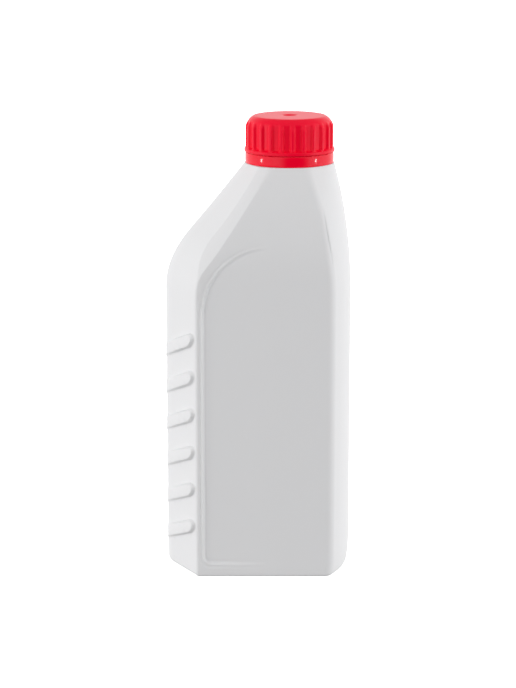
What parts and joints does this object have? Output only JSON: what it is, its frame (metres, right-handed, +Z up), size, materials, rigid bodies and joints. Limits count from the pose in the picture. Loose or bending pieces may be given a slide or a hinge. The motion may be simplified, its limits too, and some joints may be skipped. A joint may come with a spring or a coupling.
{
  "type": "antifreeze bottle",
  "caption": "White blown plastic bottle for coolant with ribbed grip bevels, stepped label panels, an offset threaded neck and a red screw cap with tamper band.",
  "frame": {"origin": "middle of the base, on the floor", "axes": "+Z up, the neck is set off towards +X, the front face looks to -Y"},
  "size_m": [0.095, 0.067, 0.2333],
  "materials": {
    "bottle_plastic": "satin",
    "cap_plastic": "glossy",
    "band_plastic": "glossy",
    "liner_foam": "matte"
  },
  "bodies": {
    "bottle": {"bottle": "bottle_plastic", "tamper_band": "band_plastic"},
    "seal": {"liner": "liner_foam"},
    "cap": {"cap": "cap_plastic"}
  },
  "joints": [
    {"name": "cap_lift", "type": "slide", "parent": "bottle", "child": "seal", "axis": [0, 0, 1], "range_m": [0, 0.0161]},
    {"name": "cap_turn", "type": "hinge", "parent": "seal", "child": "cap", "pos_m": [0.0159, 0, 0.2298], "axis": [0, 0, 1], "range_deg": [0, 1440]}
  ],
  "couplings": [
    {"joint": "cap_lift", "follows": "cap_turn", "m_per_rad": 0.00063662}
  ]
}
